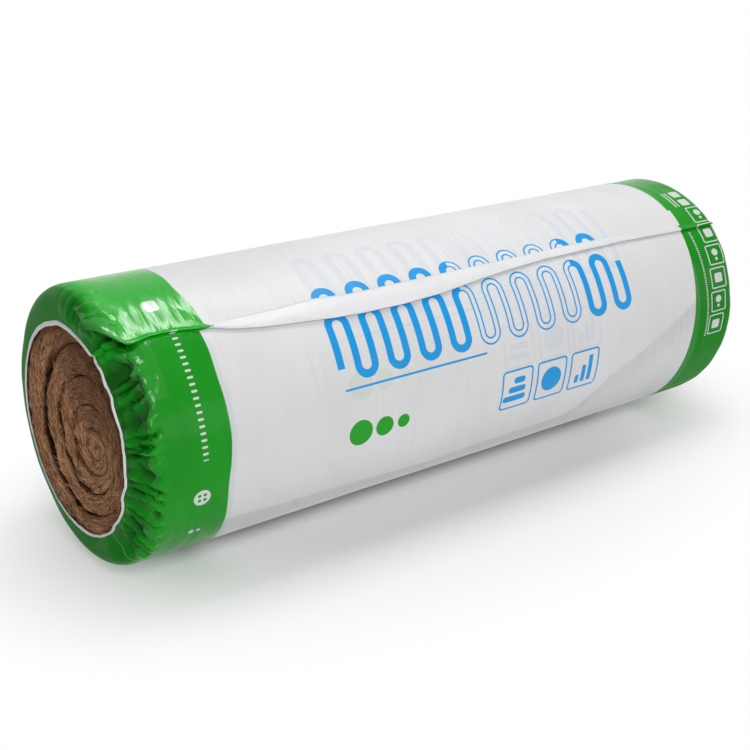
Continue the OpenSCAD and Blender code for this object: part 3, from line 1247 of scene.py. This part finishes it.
def wool_strands(colours):
    """Single fibres of the wool, in three browns."""
    tones = (("strand_dark", toned(colours.wool_mid, 0.45)), ("strand_mid", tuple(colours.wool_mid)),
             ("strand_light", tuple(colours.wool_light)))

    def fill(tree, tone):
        # painted shade on the fibres towards the top, the front and the edge, with random dark blotches
        return {"Base Color": mixed(wool_shade_and_blotches(tree), tone, toned(tone, 0.3)), "Roughness": 0.7,
                "Specular IOR Level": 0.1}

    return [new_material(name, lambda tree, tone=tone: fill(tree, tone)) for name, tone in tones]


# Stage

FLOOR_SIZE, FLOOR_FACES, FLOOR_TONE = 24.0, 8, (0.94, 0.94, 0.94)
SENSOR_WIDTH = 36

# Lights: name, place, target, width and depth
LIGHTS = (
    ("overhead", (0.30, 0.22, 2.1), (-0.05, 0, 0.25), 1.1, 0.34),
    ("front", (-0.9, -2.2, 2.0), (-0.2, 0, 0.2), 1.0, 0.9),
    ("side", (-2.4, 0.5, 1.0), (-0.6, 0, 0.2), 0.8, 1.2),
    ("fill", (1.6, -2.7, 0.65), (0.1, 0, 0.15), 4.0, 1.2))


def seen_ray(tree):
    """1 for what the camera sees, straight or in a reflection."""
    kinds = ("Is Camera Ray", "Is Glossy Ray", "Is Transmission Ray")
    return reduce(Value.most, [add_node(tree, "LightPath", {}, kind) for kind in kinds])


def floor_material():
    """A pale floor that is white to the camera away from the roll and keeps the shadow of the roll."""
    material = new_material("pale_floor", lambda tree: {
        "Base Color": FLOOR_TONE, "Roughness": 0.9, "Specular IOR Level": 0.0})
    tree = material.node_tree
    shader, output = (next(node for node in tree.nodes if node.type == kind)
                      for kind in ("BSDF_PRINCIPLED", "OUTPUT_MATERIAL"))
    reach = object_place(tree).stretched((0.62, 1.0, 1.0)).vector("LENGTH", (0, 0, 0))
    layers = {0: seen_ray(tree) * reach.rise(0.22, 0.54), 1: Value(tree, shader.outputs["BSDF"]),
              2: add_node(tree, "Emission", {}, "Emission")}
    feed(tree, output.inputs["Surface"], add_node(tree, "MixShader", layers, "Shader"))
    return material


def aimed(name, data, place, target):
    """Adds a light or a camera that looks from a place at a target."""
    piece = bpy.data.objects.new(name, data)
    piece.location = place
    piece.rotation_mode = "QUATERNION"
    piece.rotation_quaternion = (Vector(target) - Vector(place)).to_track_quat("-Z", "Y")
    bpy.context.scene.collection.objects.link(piece)
    return piece


class ROLL_OT_stage(bpy.types.Operator):
    """Makes the floor, the light and the camera"""

    bl_idname = "roll.stage"
    bl_label = "Stage"

    def execute(self, context):
        scene, stage = context.scene, context.scene.stage_sizes
        bm = bmesh.new()
        bmesh.ops.create_grid(bm, x_segments=FLOOR_FACES, y_segments=FLOOR_FACES, size=FLOOR_SIZE)
        mesh = bpy.data.meshes.new("floor")
        bm.to_mesh(mesh)
        bm.free()
        mesh.materials.append(floor_material())
        floor = bpy.data.objects.new("floor", mesh)
        scene.collection.objects.link(floor)

        world = bpy.data.worlds.new("room")
        world.use_nodes = True
        tree = world.node_tree
        shell = next(node for node in tree.nodes if node.type == "BACKGROUND")
        feed(tree, shell.inputs["Color"], (1, 1, 1))
        feed(tree, shell.inputs["Strength"], seen_ray(tree) * (1.0 - stage.sky) + stage.sky)
        scene.world = world

        for name, place, target, width, depth in LIGHTS:
            light = bpy.data.lights.new(name, "AREA")
            light.shape = "RECTANGLE"
            light.size = width
            light.size_y = depth
            light.energy = getattr(stage, name)
            aimed(name, light, place, target)

        camera = bpy.data.cameras.new("camera")
        camera.sensor_width = SENSOR_WIDTH
        camera.lens = stage.lens
        scene.camera = aimed("camera", camera, stage.camera_at, stage.camera_target)
        scene.view_settings.view_transform = "Standard"
        return {"FINISHED"}


class ROLL_PT_panel(bpy.types.Panel):
    """Lists the sizes, colours and steps of the roll"""

    bl_idname = "ROLL_PT_panel"
    bl_label = "Insulation roll"
    bl_space_type = "VIEW_3D"
    bl_region_type = "UI"
    bl_category = "Roll"

    def draw(self, context):
        for step in STEPS:
            self.layout.operator(step.bl_idname)
        for name, group in GROUPS.items():
            box = self.layout.box()
            for entry in group.__annotations__:
                box.prop(getattr(context.scene, name), entry)


STEPS = (ROLL_OT_film_wrap, ROLL_OT_film_tail, ROLL_OT_wool_mat, ROLL_OT_wool_fibres, ROLL_OT_stage)
GROUPS = {
    "film_sizes": FilmSizes, "wool_sizes": WoolSizes, "roll_colours": RollColours, "stage_sizes": StageSizes}
CLASSES = (*GROUPS.values(), *STEPS, ROLL_PT_panel)


def register():
    for entry in CLASSES:
        bpy.utils.register_class(entry)
    for name, group in GROUPS.items():
        setattr(bpy.types.Scene, name, PointerProperty(type=group))


def unregister():
    for name in GROUPS:
        delattr(bpy.types.Scene, name)
    for entry in reversed(CLASSES):
        bpy.utils.unregister_class(entry)


def main():
    register()
    bpy.ops.roll.film_wrap()
    bpy.ops.roll.film_tail()
    bpy.ops.roll.wool_mat()
    bpy.ops.roll.wool_fibres()
    bpy.ops.roll.stage()


if __name__ == "__main__":
    main()
